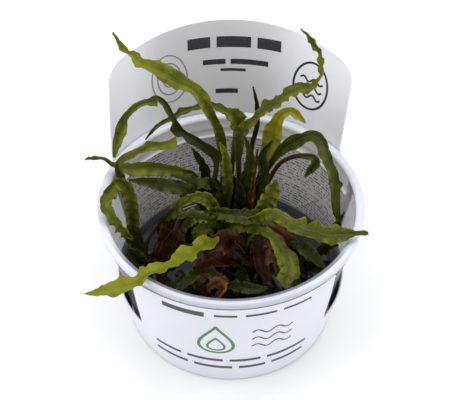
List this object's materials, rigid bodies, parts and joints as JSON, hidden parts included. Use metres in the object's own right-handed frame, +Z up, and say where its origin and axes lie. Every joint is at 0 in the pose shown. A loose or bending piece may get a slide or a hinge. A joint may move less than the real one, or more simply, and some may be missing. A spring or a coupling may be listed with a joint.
{
  "type": "cryptocoryne crispatula aquarium plant in a culture cup",
  "caption": "Crinkled ribbon leaves of an aquarium plant growing from gel in a clear round cup, wrapped in a white card sleeve with a tall rounded back panel.",
  "frame": {"origin": "centre of the flat underside of the cup", "axes": "+Z up along the cup's axis, -Y towards the front of the cup, +X to the right as the front is seen"},
  "size_m": [0.1048, 0.1089, 0.1164],
  "materials": {
    "clear_plastic": "clear, moulded, milky at the rim",
    "card": "smooth white card, faintly glossy",
    "gel": "wet, dark, translucent",
    "crown": "moist plant tissue",
    "fresh_leaf": "satin, veined, crinkled",
    "dark_leaf": "satin, veined, crinkled",
    "yellow_leaf": "satin, veined, crinkled",
    "old_leaf": "limp and brown"
  },
  "bodies": {
    "root": {"cup": "clear_plastic", "card_sleeve": "card", "gel": "gel", "crown_left": "crown", "crown_right": "crown", "crown_front": "crown", "crown_side_left": "crown", "crown_side_right": "crown", "crown_low_front": "crown", "leaf_upper_left": "fresh_leaf", "leaf_left_arch": "dark_leaf", "leaf_back_arch": "dark_leaf", "leaf_left_long": "fresh_leaf", "leaf_left_under": "dark_leaf", "leaf_front_left": "fresh_leaf", "leaf_right_over_rim": "fresh_leaf", "leaf_front_right": "fresh_leaf", "leaf_upper_right": "fresh_leaf", "leaf_spike": "dark_leaf", "leaf_yellow": "yellow_leaf", "leaf_right_arch": "fresh_leaf", "leaf_left_loop": "dark_leaf", "leaf_left_inward": "fresh_leaf", "leaf_left_slant": "dark_leaf", "leaf_right_wall": "dark_leaf", "leaf_right_small": "dark_leaf", "leaf_right_frill": "fresh_leaf", "leaf_centre_left": "fresh_leaf", "leaf_centre": "dark_leaf", "leaf_centre_right": "dark_leaf", "leaf_short_left": "dark_leaf", "leaf_inner_back": "dark_leaf", "leaf_inner_left": "dark_leaf", "leaf_inner_tall_left": "dark_leaf", "leaf_inner_tall_right": "dark_leaf", "leaf_inner_right": "dark_leaf", "leaf_low_left": "dark_leaf", "leaf_low_right": "dark_leaf", "leaf_low_front": "dark_leaf", "old_leaf_left": "old_leaf", "old_leaf_front": "old_leaf", "old_leaf_middle": "old_leaf", "old_leaf_right": "old_leaf", "old_leaf_curl": "old_leaf"}
  },
  "joints": []
}
